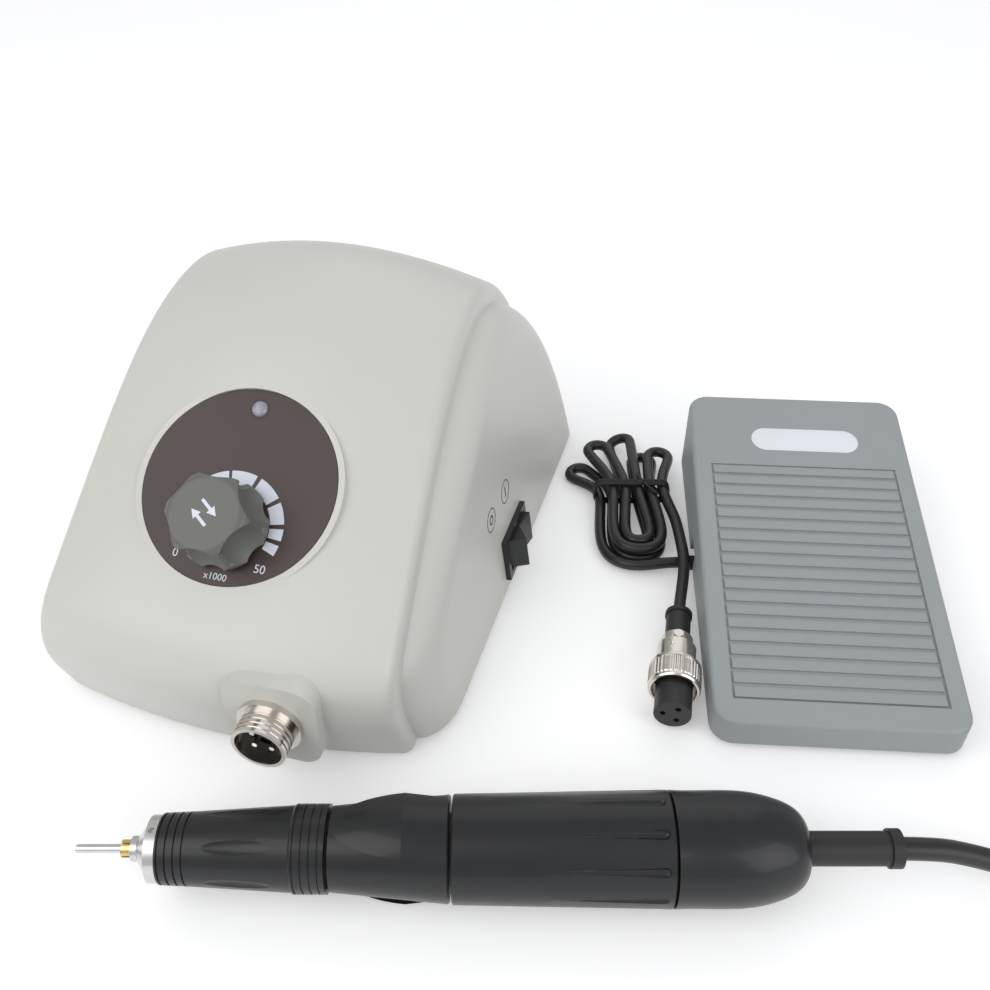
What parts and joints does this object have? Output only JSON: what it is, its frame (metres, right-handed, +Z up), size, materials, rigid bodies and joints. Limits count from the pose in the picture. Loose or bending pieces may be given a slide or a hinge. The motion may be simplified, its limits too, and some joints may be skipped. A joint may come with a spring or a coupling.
{
  "type": "dental micromotor set",
  "caption": "Desk control unit with a speed dial and a front socket, a ribbed foot pedal on a tied lead, and a motor handpiece with a collet chuck on a coiled cord.",
  "frame": {"origin": "on the table, under the middle of the common box of the control unit, the pedal and the handpiece", "axes": "+X to the right as the user sees the set, along the handpiece; +Y away from the user; +Z up from the table"},
  "size_m": [0.3899, 0.2532, 0.1051],
  "materials": {
    "housing_plastic": "satin moulded",
    "base_plastic": "fine textured",
    "black_rubber": "matt",
    "screw_steel": "bright zinc",
    "dial_plate_plastic": "satin printed",
    "clear_lens": "clear",
    "part_metal": "turned",
    "knob_plastic": "satin",
    "nickel": "nickel plated",
    "insert_plastic": "moulded",
    "switch_plastic": "satin",
    "fuse_glass": "clear",
    "core_steel": "laminated",
    "copper_winding": "taped winding",
    "board_green": "lacquered",
    "sink_aluminium": "extruded",
    "pedal_dark": "moulded",
    "pedal_plastic": "fine textured",
    "spring_steel": "drawn wire",
    "plunger_plastic": "moulded",
    "cord_rubber": "satin",
    "tie_black": "coated wire",
    "handpiece_blue": "dark anodised",
    "collet_brass": "polished",
    "tool_steel": "ground",
    "magnet_dark": "sintered",
    "carbon": "pressed carbon"
  },
  "bodies": {
    "control_unit": {"housing_shell": "housing_plastic", "base_plate": "base_plastic", "rubber_feet": "black_rubber", "base_screws": "screw_steel", "dial_plate": "dial_plate_plastic", "indicator_lens": "clear_lens", "potentiometer": "part_metal", "handpiece_socket": "nickel", "socket_insert": "insert_plastic", "socket_pins": "nickel", "socket_nut": "nickel", "switch_bezel": "switch_plastic", "power_inlet": "switch_plastic", "inlet_pins": "nickel", "pedal_socket": "nickel", "transformer_core": "core_steel", "transformer_winding": "copper_winding", "control_board": "board_green", "heat_sink": "sink_aluminium"},
    "dial_shaft": {"pot_shaft": "part_metal"},
    "speed_knob": {"speed_knob": "knob_plastic"},
    "rocker": {"rocker_key": "switch_plastic"},
    "fuse_drawer": {"fuse_drawer": "switch_plastic", "glass_fuse": "fuse_glass"},
    "pedal_base": {"pedal_base": "pedal_dark", "pedal_feet": "black_rubber", "hinge_pin": "screw_steel", "micro_switch": "switch_plastic", "pedal_spring": "spring_steel", "pedal_gland": "black_rubber", "pedal_cord_hank": "cord_rubber", "pedal_cord": "cord_rubber", "hank_tie": "tie_black", "pedal_plug_boot": "black_rubber", "pedal_plug_body": "nickel", "pedal_plug_insert": "insert_plastic"},
    "treadle": {"pedal_treadle": "pedal_plastic"},
    "switch_plunger": {"switch_plunger": "plunger_plastic"},
    "pedal_plug_ring": {"pedal_plug_ring": "nickel"},
    "handpiece": {"nose_cone": "nickel", "front_sleeve": "handpiece_blue", "motor_housing": "handpiece_blue", "rear_cap": "handpiece_blue", "strain_relief": "black_rubber", "spindle_bearings": "tool_steel", "magnet_ring": "magnet_dark", "rear_bearing": "tool_steel", "carbon_brushes": "carbon", "handpiece_cord": "cord_rubber", "handpiece_cord_coil": "cord_rubber", "handpiece_plug_boot": "black_rubber", "handpiece_plug_body": "nickel", "handpiece_plug_insert": "insert_plastic"},
    "chuck_ring": {"chuck_ring": "handpiece_blue"},
    "spindle": {"spindle": "tool_steel", "armature": "core_steel"},
    "collet": {"collet": "collet_brass"},
    "tool": {"bur": "tool_steel"},
    "handpiece_plug_ring": {"handpiece_plug_ring": "nickel"}
  },
  "joints": [
    {"name": "knob_turn", "type": "hinge", "parent": "control_unit", "child": "dial_shaft", "pos_m": [-0.07946, -0.04075, 0.06327], "axis": [0.1447, 0.5595, -0.8161], "range_deg": [0, 280]},
    {"name": "knob_push", "type": "slide", "parent": "dial_shaft", "child": "speed_knob", "axis": [0.1447, 0.5595, -0.8161], "range_m": [0, 0.0015], "stiffness_N_per_m": 500, "springref_m": -0.002},
    {"name": "rocker_tilt", "type": "hinge", "parent": "control_unit", "child": "rocker", "pos_m": [-0.00202, 0.00712, 0.01431], "axis": [0.1167, -0.0349, -0.9926], "range_deg": [0, 22]},
    {"name": "fuse_drawer_slide", "type": "slide", "parent": "control_unit", "child": "fuse_drawer", "axis": [0.2504, 0.9681, 0], "range_m": [0, 0.014]},
    {"name": "pedal_lift", "type": "slide", "parent": "control_unit", "child": "pedal_base", "axis": [0, 0, 1], "range_m": [0, 0.05]},
    {"name": "treadle_press", "type": "hinge", "parent": "pedal_base", "child": "treadle", "pos_m": [0.09828, -0.06284, 0.007], "axis": [-0.9981, 0.061, 0], "range_deg": [0, 3], "stiffness_Nm_per_rad": 7, "springref_deg": -5.73, "deforming": ["pedal_spring"]},
    {"name": "plunger_slide", "type": "slide", "parent": "pedal_base", "child": "switch_plunger", "axis": [0, 0, -1], "range_m": [0, 0.002]},
    {"name": "pedal_ring_turn", "type": "hinge", "parent": "pedal_base", "child": "pedal_plug_ring", "pos_m": [0.05134, -0.0488, 0.0082], "axis": [-0.1771, -0.9842, 0], "continuous": true},
    {"name": "handpiece_lift", "type": "slide", "parent": "control_unit", "child": "handpiece", "axis": [0, 0, 1], "range_m": [0, 0.05]},
    {"name": "chuck_turn", "type": "hinge", "parent": "handpiece", "child": "chuck_ring", "pos_m": [-0.04717, -0.11182, 0.0148], "axis": [-1, 0, 0], "range_deg": [0, 40]},
    {"name": "spindle_spin", "type": "hinge", "parent": "handpiece", "child": "spindle", "pos_m": [-0.09407, -0.11182, 0.0148], "axis": [-1, 0, 0], "continuous": true},
    {"name": "collet_release", "type": "slide", "parent": "spindle", "child": "collet", "axis": [-1, 0, 0], "range_m": [0, 0.0008]},
    {"name": "tool_pull", "type": "slide", "parent": "collet", "child": "tool", "axis": [-1, 0, 0], "range_m": [0, 0.02]},
    {"name": "handpiece_ring_turn", "type": "hinge", "parent": "handpiece", "child": "handpiece_plug_ring", "pos_m": [0.23693, -0.02382, 0.00985], "axis": [0, 1, 0], "continuous": true}
  ],
  "couplings": [
    {"joint": "plunger_slide", "follows": "treadle_press", "m_per_rad": 0.032},
    {"joint": "collet_release", "follows": "chuck_turn", "m_per_rad": 0.001145}
  ]
}
